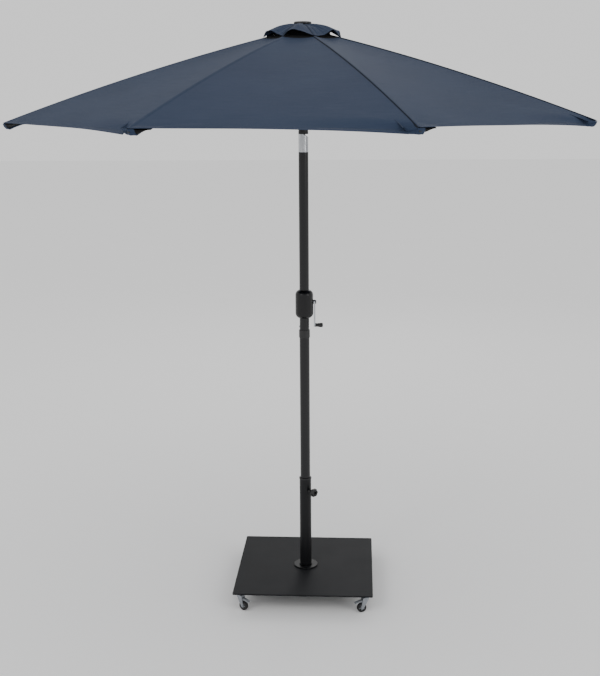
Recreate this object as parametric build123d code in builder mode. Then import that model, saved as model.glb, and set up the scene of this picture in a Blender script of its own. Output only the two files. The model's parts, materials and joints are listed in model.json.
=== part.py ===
"""A crank-and-tilt market umbrella standing in a square steel base plate on four casters.

Frame: origin on the ground under the middle of the base, +Z up, -Y to the front,
+X to the side that carries the crank. All lengths are millimetres, angles degrees.
"""

from build123d import *

import os
from math import atan2, cos, degrees, hypot, radians, sin, tan

os.makedirs("parts", exist_ok=True)

# ---------------------------------------------------------------- driving dimensions
# base
plate_side = 600.0
plate_low = 78.0
plate_thickness = 6.0
plate_corner_radius = 6.0
tube_radius = 25.75
tube_bore = 24.25
tube_top = 498.0
flange_radius = 52.5
flange_thickness = 6.0
flange_bolt_circle = 40.0
bolt_radius = 4.0
bolt_clearance = 0.3
bolt_hole_depth = 4.5
bolt_head_height = 5.3
lip_top = 504.0
clamp_height = 444.0
clamp_azimuth = -42.0
# casters
wheel_radius = 20.5
wheel_half_width = 8.0
caster_trail = 17.0
caster_inset = 32.0
fork_half_width = 11.0
fork_cheek = 2.0
# mast
lower_pole_radius = 21.5
upper_pole_radius = 20.5
top_pole_radius = 20.0
pole_wall = 1.5
pole_joint = 1158.0
collar_low = 1141.0
collar_high = 1176.0
collar_radius = 23.5
snap_button_height = 1189.0
# crank
crank_height = 1297.0
case_low = 1227.0
case_high = 1350.0
case_radius = 38.0
case_round = 22.0
crank_reach = 101.0
# tilt
sleeve_low = 1928.0
sleeve_high = 2001.0
sleeve_radius = 20.2
tilt_pivot = 1993.0
tilt_button_height = 1947.0
tilt_relief_angle = 32.0
tilt_ring_high = 2012.0
# frame of the canopy
rib_count = 8
first_rib_azimuth = -24.4
pivot_radius = 40.0
hub_pivot = 2398.0
tip_radius = 1186.0
tip_height = 2051.0
rib_bow = 18.0
rib_half_width = 5.0
rib_half_height = 8.0
link_length = 490.0
strut_half_width = 4.0
strut_half_height = 7.0
closed_angle = 83.0
# fabric
fabric_thickness = 1.0
fabric_gap = 3.0
vent_radius = 105.0
cap_corner_radius = 163.0
cap_corner_height = 2380.0
cap_arch_radius = 146.0
cap_arch_height = 2402.0
cap_top_radius = 18.0
cap_top_height = 2433.5
finial_low = 2435.0
finial_high = 2445.0
finial_radius = 35.5

# ---------------------------------------------------------------- worked-out sizes
plate_top = plate_low + plate_thickness
flange_top = plate_top + flange_thickness
chord_run = tip_radius - pivot_radius
chord_drop = hub_pivot - tip_height
rib_chord = hypot(chord_run, chord_drop)
open_angle = degrees(atan2(chord_drop, chord_run))
runner_pivot = hub_pivot - 2 * link_length * sin(radians(open_angle))
runner_travel = 2 * link_length * (sin(radians(closed_angle)) - sin(radians(open_angle)))
rib_azimuths = [first_rib_azimuth + i * 360 / rib_count for i in range(rib_count)]
rib_arc_radius = ((rib_chord / 2) ** 2 + rib_bow**2) / (2 * rib_bow)
cord_azimuth = first_rib_azimuth + 2.5 * 360 / rib_count


def save(builder, name):
    """Label a finished sub-part and write it as its own STEP file."""
    builder.part.label = name
    export_step(builder.part, f"parts/{name}.step")


def radial_plane(azimuth, x=0.0, y=0.0, z=0.0):
    """Upright plane through (x, y, z): sketch x runs outwards along the azimuth, y runs up."""
    a = radians(azimuth)
    return Plane(origin=(x, y, z), x_dir=(cos(a), sin(a), 0), z_dir=(sin(a), -cos(a), 0))


def facing_plane(azimuth, distance, height):
    """Plane square to the azimuth at a distance from the mast, its normal pointing outwards."""
    a = radians(azimuth)
    return Plane(
        origin=(distance * cos(a), distance * sin(a), height),
        x_dir=(-sin(a), cos(a), 0),
        z_dir=(cos(a), sin(a), 0),
    )


def make_ring(name, outer, inner, low, high):
    """A plain upright tube, collar or ring."""
    with BuildPart() as ring:
        with BuildSketch(Plane.XY.offset(low)):
            Circle(outer)
            Circle(inner, mode=Mode.SUBTRACT)
        extrude(amount=high - low)
    save(ring, name)


def make_turned(name, profile, plane, axis):
    """A turned piece from the points of half its section."""
    with BuildPart() as turned:
        with BuildSketch(plane):
            with BuildLine():
                Polyline(*profile, close=True)
            make_face()
        revolve(axis=axis)
    save(turned, name)


# ---------------------------------------------------------------- base
with BuildPart() as base_plate:
    with BuildSketch(Plane.XY.offset(plate_low)):
        RectangleRounded(plate_side, plate_side, plate_corner_radius)
    extrude(amount=plate_thickness)
    fillet(base_plate.edges().group_by(Axis.Z)[-1], radius=1.5)
    fillet(base_plate.edges().group_by(Axis.Z)[0], radius=1.0)
    with BuildSketch(Plane.XY.offset(plate_low)):
        with PolarLocations(flange_bolt_circle, 4, start_angle=45):
            Circle(bolt_radius + bolt_clearance)
    extrude(amount=plate_thickness, mode=Mode.SUBTRACT)
save(base_plate, "base_plate")

with BuildPart() as base_tube:
    with BuildSketch(Plane.XY.offset(plate_top)):
        Circle(flange_radius)
    extrude(amount=flange_thickness)
    fillet(base_tube.edges().group_by(Axis.Z)[-1], radius=1.5)
    with BuildSketch(Plane.XY.offset(flange_top)):
        Circle(tube_radius)
    extrude(amount=tube_top - flange_top)
    with BuildSketch(Plane.XY.offset(flange_top)):
        Circle(tube_radius)
    weld_width = 4.0
    extrude(amount=weld_width, taper=-40)
    with BuildSketch(Plane.XY.offset(plate_top)):
        Circle(tube_bore)
    extrude(amount=tube_top - plate_top, mode=Mode.SUBTRACT)
    with BuildSketch(Plane.XY.offset(plate_top)):
        with PolarLocations(flange_bolt_circle, 4, start_angle=45):
            Circle(bolt_radius + bolt_clearance)
    extrude(amount=bolt_hole_depth, mode=Mode.SUBTRACT)
    with BuildSketch(facing_plane(clamp_azimuth, tube_bore - 5, clamp_height)):
        Circle(5.3)
    extrude(amount=10, mode=Mode.SUBTRACT)
save(base_tube, "base_tube")

with BuildPart() as flange_bolts:
    bolt_places = PolarLocations(flange_bolt_circle, 4, start_angle=45)
    with BuildSketch(Plane.XY.offset(plate_low - bolt_head_height)):
        with bolt_places:
            RegularPolygon(radius=7.5, side_count=6)
    extrude(amount=bolt_head_height)
    chamfer(flange_bolts.edges().group_by(Axis.Z)[0], length=0.8)
    with BuildSketch(Plane.XY.offset(plate_low - 1)):
        with bolt_places:
            Circle(bolt_radius)
    extrude(amount=plate_thickness + bolt_hole_depth + 0.5)
save(flange_bolts, "flange_bolts")

with BuildPart() as clamp_boss:
    with BuildSketch(facing_plane(clamp_azimuth, 20, clamp_height)):
        Circle(9.5)
    extrude(amount=17)
    chamfer(clamp_boss.edges().filter_by(GeomType.CIRCLE).sort_by(SortBy.DISTANCE)[-1:], length=1)
    with BuildSketch(Plane.XY.offset(clamp_height - 15)):
        Circle(tube_radius)
    extrude(amount=30, mode=Mode.SUBTRACT)
    with BuildSketch(facing_plane(clamp_azimuth, 15, clamp_height)):
        Circle(5.1)
    extrude(amount=30, mode=Mode.SUBTRACT)
save(clamp_boss, "clamp_boss")

with BuildPart() as clamp_stud:
    with BuildSketch(facing_plane(clamp_azimuth, lower_pole_radius + 0.4, clamp_height)):
        Circle(5.0)
    extrude(amount=34)
save(clamp_stud, "clamp_stud")

with BuildPart() as clamp_knob:
    with BuildSketch(facing_plane(clamp_azimuth, 40.5, clamp_height)):
        Circle(19)
        with PolarLocations(21.5, 6):
            Circle(5.5, mode=Mode.SUBTRACT)
    extrude(amount=21)
    fillet(clamp_knob.edges().filter_by(GeomType.CIRCLE), radius=1.4)
    with BuildSketch(facing_plane(clamp_azimuth, 40.5, clamp_height)):
        Circle(5.05)
    extrude(amount=16, mode=Mode.SUBTRACT)
save(clamp_knob, "clamp_knob")

make_turned(
    "guide_ring",
    [
        (lower_pole_radius + 0.25, 456),
        (tube_bore - 0.1, 456),
        (tube_bore - 0.1, tube_top + 0.3),
        (tube_radius + 1.6, tube_top + 0.3),
        (tube_radius + 1.6, lip_top - 1.2),
        (tube_radius + 0.4, lip_top),
        (lower_pole_radius + 0.25, lip_top),
    ],
    Plane.XZ,
    Axis.Z,
)

# ---------------------------------------------------------------- casters
caster_place = plate_side / 2 - caster_inset
boss_low = 66.0
boss_bore_top = 76.0
crown_high = 65.5
crown_low = 60.0
brake_pivot = (10.0, 50.0)
brake_pin_radius = 2.0

with BuildPart() as caster_mounts:
    with BuildSketch(Plane.XY.offset(boss_low)):
        with GridLocations(2 * caster_place, 2 * caster_place, 2, 2):
            RegularPolygon(radius=11, side_count=6)
    extrude(amount=plate_low - boss_low)
    with BuildSketch(Plane.XY.offset(boss_low)):
        with GridLocations(2 * caster_place, 2 * caster_place, 2, 2):
            Circle(5.1)
    extrude(amount=boss_bore_top - boss_low, mode=Mode.SUBTRACT)
save(caster_mounts, "caster_mounts")

casters = {
    "front_left": (-caster_place, -caster_place, -35.0, True),
    "front_right": (caster_place, -caster_place, -158.0, True),
    "rear_left": (-caster_place, caster_place, 105.0, False),
    "rear_right": (caster_place, caster_place, 62.0, False),
}


def make_caster(corner, x, y, heading, braked):
    """A swivel caster: zinc fork with its kingpin and axle, wheel, and a foot brake at the front."""
    side = radial_plane(heading, x, y)
    with BuildPart() as fork:
        with BuildSketch(side):
            with Locations((caster_trail, wheel_radius)):
                Circle(6)
            with Locations((0, (crown_low + crown_high) / 2)):
                Rectangle(26, crown_high - crown_low)
            make_hull()
        extrude(amount=fork_half_width, both=True)
        with BuildSketch(side):
            with Locations((caster_trail / 2, crown_low / 2)):
                Rectangle(90, crown_low)
        extrude(amount=fork_half_width - fork_cheek, both=True, mode=Mode.SUBTRACT)
        with BuildSketch(Plane(origin=(x, y, crown_high), z_dir=(0, 0, 1))):
            Circle(5.0)
        extrude(amount=boss_bore_top - crown_high - 0.5)
        with BuildSketch(side):
            with Locations((caster_trail, wheel_radius)):
                Circle(3.0)
        extrude(amount=fork_half_width + 1.5, both=True)
        if braked:
            with BuildSketch(side):
                with Locations(brake_pivot):
                    Circle(brake_pin_radius)
            extrude(amount=fork_half_width + 0.8, both=True)
    save(fork, f"fork_{corner}")
    with BuildPart() as wheel:
        with BuildSketch(side):
            with Locations((caster_trail, wheel_radius)):
                Circle(wheel_radius)
        extrude(amount=wheel_half_width, both=True)
        fillet(wheel.edges().filter_by(GeomType.CIRCLE), radius=2.5)
        with BuildSketch(side):
            with Locations((caster_trail, wheel_radius)):
                Circle(3.06)
        extrude(amount=wheel_half_width, both=True, mode=Mode.SUBTRACT)
    save(wheel, f"wheel_{corner}")
    if braked:
        with BuildPart() as brake:
            with BuildSketch(side):
                with Locations(brake_pivot):
                    Circle(4.5)
                with BuildLine():
                    Polyline((12, 54), (30, 52), (49, 46), (48, 42.5), (29, 47.5), (12, 46), close=True)
                make_face()
            extrude(amount=7.5, both=True)
            with BuildSketch(side):
                with Locations(brake_pivot):
                    Circle(brake_pin_radius + 0.08)
            extrude(amount=8, both=True, mode=Mode.SUBTRACT)
        save(brake, f"brake_lever_{corner}")


for corner, (x, y, heading, braked) in casters.items():
    make_caster(corner, x, y, heading, braked)

# ---------------------------------------------------------------- lower mast
foot_flange = 4.0
make_ring("lower_pole", lower_pole_radius, lower_pole_radius - pole_wall, plate_top + foot_flange, pole_joint)

make_turned(
    "pole_foot",
    [
        (0, plate_top),
        (lower_pole_radius - 1.0, plate_top),
        (lower_pole_radius, plate_top + 1.0),
        (lower_pole_radius, plate_top + foot_flange),
        (lower_pole_radius - pole_wall - 0.05, plate_top + foot_flange),
        (lower_pole_radius - pole_wall - 0.05, plate_top + 30),
        (12, plate_top + 30),
        (12, plate_top + 8),
        (0, plate_top + 8),
    ],
    Plane.XZ,
    Axis.Z,
)

spigot_bore = 17.0
spigot_high = 1215.0
with BuildPart() as joint_spigot:
    with BuildSketch(Plane.XZ):
        with BuildLine():
            Polyline(
                (spigot_bore, 1060),
                (lower_pole_radius - pole_wall - 0.05, 1060),
                (lower_pole_radius - pole_wall - 0.05, pole_joint - 0.2),
                (upper_pole_radius - pole_wall + 0.1, pole_joint - 0.2),
                (upper_pole_radius - pole_wall + 0.1, pole_joint),
                (upper_pole_radius - pole_wall - 0.05, pole_joint),
                (upper_pole_radius - pole_wall - 0.05, spigot_high),
                (spigot_bore, spigot_high),
                close=True,
            )
        make_face()
    revolve(axis=Axis.Z)
    with BuildSketch(facing_plane(180, spigot_bore - 3, snap_button_height)):
        Circle(4.15)
    extrude(amount=8, mode=Mode.SUBTRACT)
save(joint_spigot, "joint_spigot")

make_turned(
    "joint_collar",
    [
        (lower_pole_radius + 0.05, collar_low),
        (collar_radius - 0.8, collar_low),
        (collar_radius, collar_low + 1.5),
        (collar_radius, collar_high - 1.5),
        (collar_radius - 0.8, collar_high),
        (upper_pole_radius + 0.05, collar_high),
        (upper_pole_radius + 0.05, pole_joint + 0.2),
        (lower_pole_radius + 0.05, pole_joint + 0.2),
    ],
    Plane.XZ,
    Axis.Z,
)

with BuildPart() as snap_button:
    with BuildSketch(facing_plane(180, 14.4, snap_button_height)):
        Circle(4.0)
    extrude(amount=8.3)
    fillet(snap_button.edges().group_by(Axis.X)[0], radius=1.5)
    with BuildSketch(facing_plane(180, 13.0, snap_button_height)):
        Circle(5.5)
    extrude(amount=1.6)
save(snap_button, "snap_button")

# ---------------------------------------------------------------- upper mast
axle_radius = 5.0
with BuildPart() as upper_pole:
    with BuildSketch(Plane.XY.offset(pole_joint + 0.3)):
        Circle(upper_pole_radius)
        Circle(upper_pole_radius - pole_wall, mode=Mode.SUBTRACT)
    extrude(amount=sleeve_low - pole_joint - 0.3)
    with BuildSketch(facing_plane(180, 15, snap_button_height)):
        Circle(4.2)
    extrude(amount=8, mode=Mode.SUBTRACT)
    with BuildSketch(facing_plane(0, 0, crank_height)):
        Circle(axle_radius + 0.2)
    extrude(amount=30, both=True, mode=Mode.SUBTRACT)
save(upper_pole, "upper_pole")

# ---------------------------------------------------------------- crank
screw_places = [(x, z) for x in (-27.5, 27.5) for z in (case_low + 24, case_high - 24)]
case_collar = 8.0
case_wall = 3.0

with BuildPart() as case_hollow:
    with BuildSketch(Plane.XZ):
        with BuildLine():
            Polyline(
                (0, case_low + case_collar),
                (27, case_low + case_collar),
                (case_radius - case_wall, case_low + 20),
                (case_radius - case_wall, case_high - 20),
                (27, case_high - case_collar),
                (0, case_high - case_collar),
                close=True,
            )
        make_face()
    revolve(axis=Axis.Z)
    for x, z in screw_places:
        with BuildSketch(Plane.XZ):
            with Locations((x, z)):
                Circle(4.2)
        extrude(amount=40, both=True, mode=Mode.SUBTRACT)


def make_case_half(name, keep):
    """Half of the barrel-shaped crank housing, split on the plane through the crank axle."""
    with BuildPart() as half:
        with BuildSketch(Plane.XZ):
            with BuildLine():
                FilletPolyline(
                    (0, case_low),
                    (case_radius, case_low),
                    (case_radius, case_high),
                    (0, case_high),
                    radius=case_round,
                )
                Line((0, case_high), (0, case_low))
            make_face()
        revolve(axis=Axis.Z)
        add(case_hollow.part, mode=Mode.SUBTRACT)
        with BuildSketch(Plane.XY.offset(case_low)):
            Circle(upper_pole_radius + 0.1)
        extrude(amount=case_high - case_low, mode=Mode.SUBTRACT)
        with BuildSketch(facing_plane(0, 25, crank_height)):
            Circle(9.4)
        extrude(amount=20, mode=Mode.SUBTRACT)
        for x, z in screw_places:
            with BuildSketch(Plane.XZ.offset(12)):
                with Locations((x, z)):
                    Circle(1.6)
            extrude(amount=-52, mode=Mode.SUBTRACT)
            with BuildSketch(Plane.XZ.offset(-21.5)):
                with Locations((x, z)):
                    Circle(3.3)
            extrude(amount=-20, mode=Mode.SUBTRACT)
        split(bisect_by=Plane.XZ, keep=keep)
    save(half, name)


make_case_half("crank_case_front", Keep.TOP)
make_case_half("crank_case_back", Keep.BOTTOM)

with BuildPart() as case_screws:
    for x, z in screw_places:
        with BuildSketch(Plane.XZ.offset(-21.5)):
            with Locations((x, z)):
                Circle(3.0)
        extrude(amount=-2.2)
        with BuildSketch(Plane.XZ.offset(-21.5)):
            with Locations((x, z)):
                Circle(1.5)
        extrude(amount=32)
save(case_screws, "case_screws")

arm_inner = 40.6
arm_outer = 47.0
crank_line = Axis((0, 0, crank_height), (1, 0, 0))
make_turned(
    "winch_drum",
    [
        (-33, 0),
        (-33, axle_radius),
        (-12, axle_radius),
        (-12, 14),
        (-10.5, 14),
        (-10.5, 7.5),
        (10.5, 7.5),
        (10.5, 14),
        (12, 14),
        (12, axle_radius),
        (29, axle_radius),
        (29, 9.0),
        (arm_inner - 0.1, 9.0),
        (arm_inner - 0.1, axle_radius),
        (arm_outer + 0.1, axle_radius),
        (arm_outer + 0.1, 8.5),
        (50.5, 7.5),
        (51, 6.0),
        (51, 0),
    ],
    Plane(origin=(0, 0, crank_height), x_dir=(1, 0, 0), z_dir=(0, -1, 0)),
    crank_line,
)

handle_height = crank_height - crank_reach
with BuildPart() as crank_arm:
    with BuildSketch(Plane.YZ.offset(arm_inner)):
        with Locations((0, crank_height)):
            Circle(9.5)
        with Locations((0, handle_height)):
            Circle(7.0)
        make_hull()
    extrude(amount=arm_outer - arm_inner)
    with BuildSketch(Plane.YZ.offset(arm_inner)):
        with Locations((0, crank_height)):
            Circle(axle_radius + 0.05)
    extrude(amount=10, mode=Mode.SUBTRACT)
    with BuildSketch(Plane.YZ.offset(arm_outer)):
        with Locations((0, handle_height)):
            Circle(3.0)
    extrude(amount=30)
save(crank_arm, "crank_arm")

make_turned(
    "crank_handle",
    [
        (47.1, 3.08),
        (47.1, 8.2),
        (50.0, 9.0),
        (54.0, 7.4),
        (64.0, 8.0),
        (74.0, 9.8),
        (78.0, 9.6),
        (79.5, 7.5),
        (79.5, 0),
        (77.2, 0),
        (77.2, 3.08),
    ],
    Plane(origin=(0, 0, handle_height), x_dir=(1, 0, 0), z_dir=(0, -1, 0)),
    Axis((0, 0, handle_height), (1, 0, 0)),
)

# ---------------------------------------------------------------- tilt joint
sleeve_bore = 17.4
tilt_pin_radius = 4.0
with BuildPart() as tilt_sleeve:
    with BuildSketch(Plane.XZ):
        with BuildLine():
            Polyline(
                (sleeve_bore, 1880),
                (upper_pole_radius - pole_wall - 0.05, 1880),
                (upper_pole_radius - pole_wall - 0.05, sleeve_low),
                (sleeve_radius, sleeve_low),
                (sleeve_radius, sleeve_high),
                (sleeve_bore, sleeve_high),
                close=True,
            )
        make_face()
    revolve(axis=Axis.Z)
    with BuildSketch(Plane.XZ):
        with BuildLine():
            Polyline(
                (0, sleeve_high),
                (25, sleeve_high - 25 * tan(radians(tilt_relief_angle))),
                (25, sleeve_high + 5),
                (0, sleeve_high + 5),
                close=True,
            )
        make_face()
    extrude(amount=30, both=True, mode=Mode.SUBTRACT)
    with BuildSketch(Plane.XZ):
        with Locations((0, tilt_pivot)):
            Circle(tilt_pin_radius + 0.02)
    extrude(amount=30, both=True, mode=Mode.SUBTRACT)
    with BuildSketch(Plane.XZ):
        with Locations((0, tilt_button_height)):
            Circle(7.7)
    extrude(amount=30, mode=Mode.SUBTRACT)
save(tilt_sleeve, "tilt_lower_sleeve")

with BuildPart() as tilt_pin:
    with BuildSketch(Plane.XZ):
        with Locations((0, tilt_pivot)):
            Circle(tilt_pin_radius)
    extrude(amount=30, both=True)
    with BuildSketch(Plane.XY.offset(tilt_pivot - 10)):
        Circle(sleeve_radius)
    extrude(amount=20, mode=Mode.INTERSECT)
save(tilt_pin, "tilt_pin")

with BuildPart() as tilt_button:
    with BuildSketch(Plane.XZ.offset(15.2)):
        with Locations((0, tilt_button_height)):
            Circle(7.5)
    extrude(amount=10)
    with BuildSketch(Plane.XY.offset(tilt_button_height - 10)):
        Circle(sleeve_radius + 0.25)
    extrude(amount=20, mode=Mode.INTERSECT)
    with BuildSketch(Plane.XZ.offset(13.7)):
        with Locations((0, tilt_button_height)):
            Circle(8.2)
    extrude(amount=1.5)
save(tilt_button, "tilt_button")

tongue_low = tilt_pivot - 16
plug_radius = top_pole_radius - pole_wall - 0.1
with BuildPart() as tilt_tongue:
    with BuildSketch(Plane.XZ):
        with Locations((0, (tongue_low + sleeve_high) / 2)):
            Rectangle(16, sleeve_high - tongue_low)
    extrude(amount=6, both=True)
    fillet(tilt_tongue.edges().filter_by(Axis.Y).group_by(Axis.Z)[0], radius=6)
    with BuildSketch(Plane.XY.offset(sleeve_high)):
        Circle(12.9)
    extrude(amount=tilt_ring_high - sleeve_high)
    with BuildSketch(Plane.XY.offset(tilt_ring_high)):
        Circle(plug_radius)
    extrude(amount=48)
    with BuildSketch(Plane.XZ):
        with Locations((0, tilt_pivot)):
            Circle(tilt_pin_radius + 0.06)
    extrude(amount=30, both=True, mode=Mode.SUBTRACT)
save(tilt_tongue, "tilt_tongue")

make_ring("tilt_ring", upper_pole_radius, 13.0, sleeve_high, tilt_ring_high)

# ---------------------------------------------------------------- top mast, hub and runner
pulley_radius = 12.0
pulley_height = 2340.0
pulley_distance = 14.0
pulley_groove = 9.0
cord_radius = 1.8
top_pole_high = hub_pivot
pulley_plane = radial_plane(cord_azimuth)

with BuildPart() as top_pole:
    with BuildSketch(Plane.XY.offset(tilt_ring_high)):
        Circle(top_pole_radius)
        Circle(top_pole_radius - pole_wall, mode=Mode.SUBTRACT)
    extrude(amount=top_pole_high - tilt_ring_high)
    with BuildSketch(pulley_plane):
        with Locations((pulley_distance + 6, pulley_height)):
            Rectangle(24, 2 * pulley_radius + 4)
    extrude(amount=4.5, both=True, mode=Mode.SUBTRACT)
    with BuildSketch(pulley_plane):
        with Locations((pulley_distance, pulley_height)):
            Circle(2.1)
    extrude(amount=25, both=True, mode=Mode.SUBTRACT)
save(top_pole, "top_pole")

with BuildPart() as pulley:
    with BuildSketch(pulley_plane.offset(-3.5)):
        with Locations((pulley_distance, pulley_height)):
            Circle(pulley_radius)
    extrude(amount=1.2)
    with BuildSketch(pulley_plane.offset(2.3)):
        with Locations((pulley_distance, pulley_height)):
            Circle(pulley_radius)
    extrude(amount=1.2)
    with BuildSketch(pulley_plane):
        with Locations((pulley_distance, pulley_height)):
            Circle(pulley_groove)
    extrude(amount=3.0, both=True)
    with BuildSketch(pulley_plane):
        with Locations((pulley_distance, pulley_height)):
            Circle(2.0)
    extrude(amount=13.5, both=True)
save(pulley, "cord_pulley")

cord_run = pulley_distance + pulley_groove + cord_radius
cord_inner_run = pulley_distance - pulley_groove - cord_radius
runner_high = runner_pivot + 12.0
with BuildPart() as lift_cord:
    with BuildLine(pulley_plane):
        Line((cord_inner_run, tilt_ring_high + 49), (cord_inner_run, pulley_height))
        ThreePointArc(
            (cord_inner_run, pulley_height),
            (pulley_distance, pulley_height + pulley_groove + cord_radius),
            (cord_run, pulley_height),
        )
        Line((cord_run, pulley_height), (cord_run, runner_high + 0.3))
    with BuildSketch(Plane(origin=pulley_plane.from_local_coords((cord_inner_run, tilt_ring_high + 49, 0)))):
        Circle(cord_radius)
    sweep()
save(lift_cord, "lift_cord")

hub_radius = 50.0
hub_high = hub_pivot + 12.0
hub_crown_low = hub_pivot - 12.0
wire_radius = 1.25
slot_floor = 31.0
rib_slot = 2 * rib_half_width + 0.8
with BuildPart() as top_hub:
    with BuildSketch(Plane.XZ):
        with BuildLine():
            Polyline(
                (top_pole_radius + 0.05, hub_pivot - 38),
                (29, hub_pivot - 38),
                (29, hub_crown_low),
                (hub_radius - 2, hub_crown_low),
                (hub_radius, hub_crown_low + 2),
                (hub_radius, hub_high - 2),
                (hub_radius - 2, hub_high),
                (0, hub_high),
                (0, top_pole_high + 0.1),
                (top_pole_radius + 0.05, top_pole_high + 0.1),
                close=True,
            )
        make_face()
    revolve(axis=Axis.Z)
    for azimuth in rib_azimuths:
        with BuildSketch(radial_plane(azimuth)):
            with Locations((slot_floor + 15, hub_pivot)):
                Rectangle(30, 40)
        extrude(amount=rib_slot / 2, both=True, mode=Mode.SUBTRACT)
    with BuildSketch(Plane.XZ):
        with Locations((pivot_radius, hub_pivot)):
            Circle(wire_radius + 0.03)
    revolve(axis=Axis.Z, mode=Mode.SUBTRACT)
save(top_hub, "top_hub")

with BuildPart() as hub_wire:
    with BuildSketch(Plane.XZ):
        with Locations((pivot_radius, hub_pivot)):
            Circle(wire_radius)
    revolve(axis=Axis.Z)
save(hub_wire, "hub_wire")

runner_slot = 2 * strut_half_width + 1.0
runner_bore = upper_pole_radius + 0.9
with BuildPart() as runner:
    with BuildSketch(Plane.XZ):
        with BuildLine():
            Polyline(
                (runner_bore, runner_pivot - 44),
                (25.5, runner_pivot - 44),
                (27, runner_pivot - 42),
                (27, runner_pivot - 11),
                (45, runner_pivot - 11),
                (47, runner_pivot - 9),
                (47, runner_pivot + 8),
                (45, runner_pivot + 10),
                (29, runner_pivot + 10),
                (28, runner_high),
                (runner_bore, runner_high),
                close=True,
            )
        make_face()
    revolve(axis=Axis.Z)
    for azimuth in rib_azimuths:
        with BuildSketch(radial_plane(azimuth)):
            with Locations((32 + 15, runner_pivot)):
                Rectangle(30, 40)
        extrude(amount=runner_slot / 2, both=True, mode=Mode.SUBTRACT)
save(runner, "runner")

with BuildPart() as finial:
    with BuildSketch(Plane.XY.offset(finial_low)):
        Circle(finial_radius)
    extrude(amount=finial_high - finial_low)
    fillet(finial.edges().group_by(Axis.Z)[-1], radius=4)
    fillet(finial.edges().group_by(Axis.Z)[0], radius=2)
    with BuildSketch(Plane.XY.offset(hub_high)):
        Circle(15.5)
    extrude(amount=finial_low - hub_high)
save(finial, "finial")


# ---------------------------------------------------------------- ribs and struts
def rib_plane(azimuth):
    """Plane of one rib: sketch x runs from its hub pivot along its chord, y square above it."""
    a, b = radians(azimuth), radians(open_angle)
    return Plane(
        origin=(pivot_radius * cos(a), pivot_radius * sin(a), hub_pivot),
        x_dir=(cos(a) * cos(b), sin(a) * cos(b), -sin(b)),
        z_dir=(sin(a), -cos(a), 0),
    )


def bow(along):
    """Height of the bowed rib's centreline over its chord."""
    half = rib_chord / 2
    return (rib_arc_radius**2 - (along - half) ** 2) ** 0.5 - (rib_arc_radius - rib_bow)


def rib_band(start, end, height):
    """Sketch of the bowed strip between two places on the rib, up to a height each side."""
    middle = (start + end) / 2
    with BuildLine() as outline:
        ThreePointArc(*((x, bow(x) + height) for x in (start, middle, end)))
        Line((end, bow(end) + height), (end, bow(end) - height))
        ThreePointArc(*((x, bow(x) - height) for x in (end, middle, start)))
        Line((start, bow(start) - height), (start, bow(start) + height))
    make_face(outline.edges())


rib_end = 1180.0
tip_cap_end = 1198.0
rib_wall = 1.0
strut_pin_radius = 2.5
clip_inner = rib_half_width
clip_outer = rib_half_width + 1.6


def make_rib(name, azimuth):
    """Bowed rectangular tube with its hub eye, the clip and rivet of its strut, and a tip cap."""
    plane = rib_plane(azimuth)
    with BuildPart() as rib:
        with BuildSketch(plane):
            rib_band(0, rib_end, rib_half_height)
            Circle(rib_half_height)
        extrude(amount=rib_half_width, both=True)
        with BuildSketch(plane):
            rib_band(20, rib_end + 5, rib_half_height - rib_wall)
        extrude(amount=rib_half_width - rib_wall, both=True, mode=Mode.SUBTRACT)
        with BuildSketch(plane):
            Circle(wire_radius + 0.55)
        extrude(amount=rib_half_width, both=True, mode=Mode.SUBTRACT)
        for side in (-1, 1):
            with BuildSketch(plane.offset(side * clip_inner)):
                with Locations((link_length, 0)):
                    Circle(7)
                with Locations((link_length, bow(link_length) + 1)):
                    Rectangle(34, 8)
                make_hull()
            extrude(amount=side * (clip_outer - clip_inner))
        with BuildSketch(plane):
            with Locations((link_length, 0)):
                Circle(strut_pin_radius)
        extrude(amount=clip_outer + 1, both=True)
        with BuildSketch(plane):
            with BuildLine():
                Polyline(
                    (rib_end - 14, bow(rib_end) - 6.5),
                    (rib_end - 14, bow(rib_end) + 6.5),
                    (rib_end + 0.1, bow(rib_end) + 6.5),
                    (rib_end + 0.1, bow(rib_end) + 7.5),
                    (tip_cap_end - 4, bow(rib_end) + 7),
                    (tip_cap_end, bow(rib_end) + 3),
                    (tip_cap_end, bow(rib_end) - 3),
                    (tip_cap_end - 4, bow(rib_end) - 7),
                    (rib_end + 0.1, bow(rib_end) - 7.5),
                    (rib_end + 0.1, bow(rib_end) - 6.5),
                    close=True,
                )
            make_face()
        extrude(amount=rib_half_width - rib_wall - 0.1, both=True)
    save(rib, name)


def make_strut(name, azimuth):
    """Folded-channel strut from the rib's clip back to the runner, its mouth facing down."""
    a, b = radians(azimuth), radians(open_angle)
    joint = rib_plane(azimuth).from_local_coords((link_length, 0, 0))
    plane = Plane(
        origin=joint,
        x_dir=(-cos(a) * cos(b), -sin(a) * cos(b), -sin(b)),
        z_dir=(-sin(a), cos(a), 0),
    )
    with BuildPart() as strut:
        with BuildSketch(plane):
            with Locations((link_length / 2, 0)):
                SlotCenterToCenter(link_length, 2 * strut_half_height)
        extrude(amount=strut_half_width, both=True)
        with BuildSketch(plane):
            with Locations((link_length / 2, -1)):
                Rectangle(link_length - 32, 2 * strut_half_height)
        extrude(amount=strut_half_width - 1.0, both=True, mode=Mode.SUBTRACT)
        with BuildSketch(plane):
            Circle(strut_pin_radius + 0.08)
        extrude(amount=strut_half_width, both=True, mode=Mode.SUBTRACT)
    save(strut, name)


for number, azimuth in enumerate(rib_azimuths, start=1):
    make_rib(f"rib_{number}", azimuth)
    make_strut(f"strut_{number}", azimuth)


# ---------------------------------------------------------------- fabric
def on_rib(azimuth, along):
    """A point of the canopy's underside over a rib."""
    height = bow(along) + rib_half_height + fabric_gap
    return rib_plane(azimuth).from_local_coords((along, height, 0))


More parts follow.
